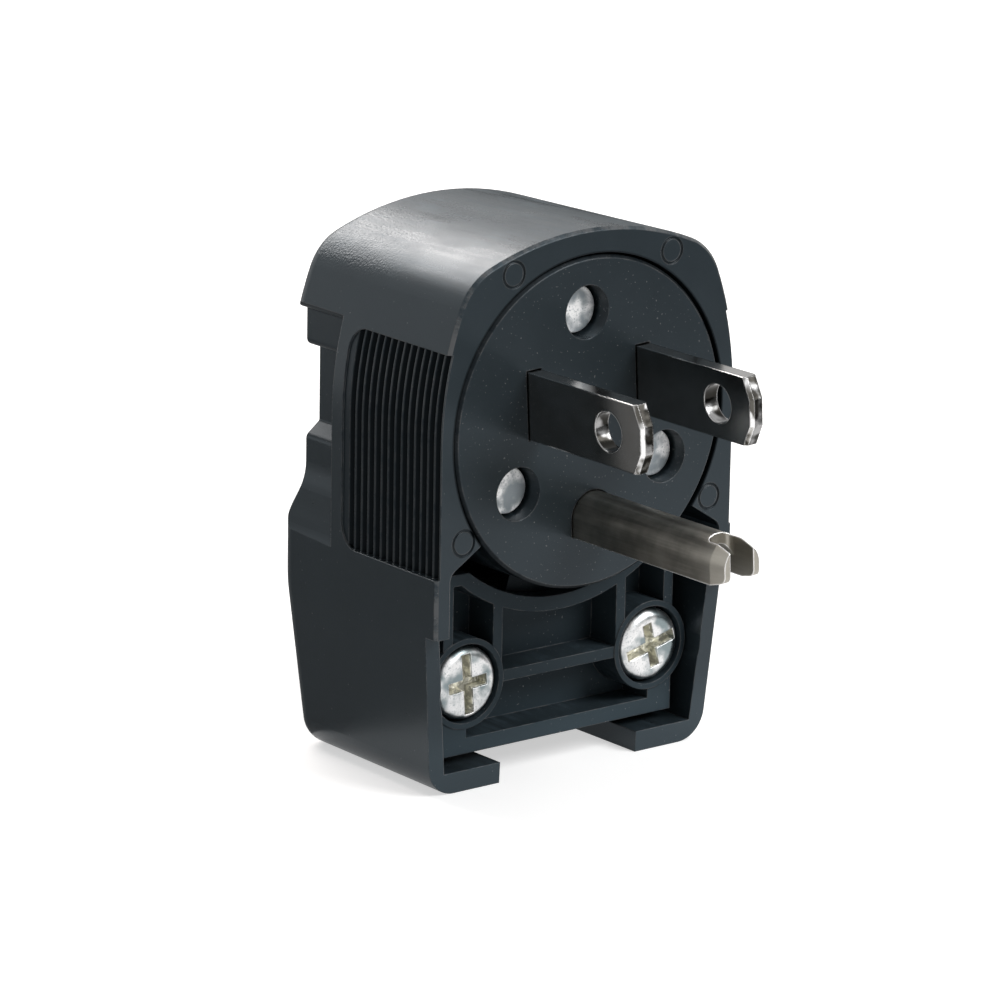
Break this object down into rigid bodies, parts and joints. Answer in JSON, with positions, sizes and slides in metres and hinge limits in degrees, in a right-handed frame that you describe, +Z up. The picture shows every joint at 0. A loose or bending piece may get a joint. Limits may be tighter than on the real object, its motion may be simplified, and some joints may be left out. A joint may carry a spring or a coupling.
{
  "type": "right-angle mains plug",
  "caption": "Flat right-angle rewirable mains plug: black moulded housing with ribbed grips, a contact disc with flat blades and a folded ground pin, and a screwed cord clamp below.",
  "frame": {"origin": "on the floor under the middle of the whole outline, at the bottom of the feet", "axes": "+Z up from the feet to the crown, -Y the way the blades point, +X to the right seen from the front"},
  "size_m": [0.035, 0.045, 0.0514],
  "materials": {
    "black_plastic": "satin charcoal moulding with a fine grain",
    "disc_plastic": "satin charcoal moulding, slightly duller than the housing",
    "nickel_plate": "bright nickel plate over brass",
    "dull_nickel": "dull nickel plate over brass, drawn lengthwise",
    "zinc_steel": "zinc plated steel"
  },
  "bodies": {
    "root": {"housing": "black_plastic", "contact_disc": "disc_plastic", "cord_clamp": "black_plastic", "live_blade": "nickel_plate", "neutral_blade": "nickel_plate", "ground_pin": "dull_nickel", "live_washer": "zinc_steel", "neutral_washer": "zinc_steel", "ground_washer": "zinc_steel", "live_terminal_screw": "zinc_steel", "neutral_terminal_screw": "zinc_steel", "ground_terminal_screw": "zinc_steel", "left_clamp_screw": "zinc_steel", "right_clamp_screw": "zinc_steel"}
  },
  "joints": []
}
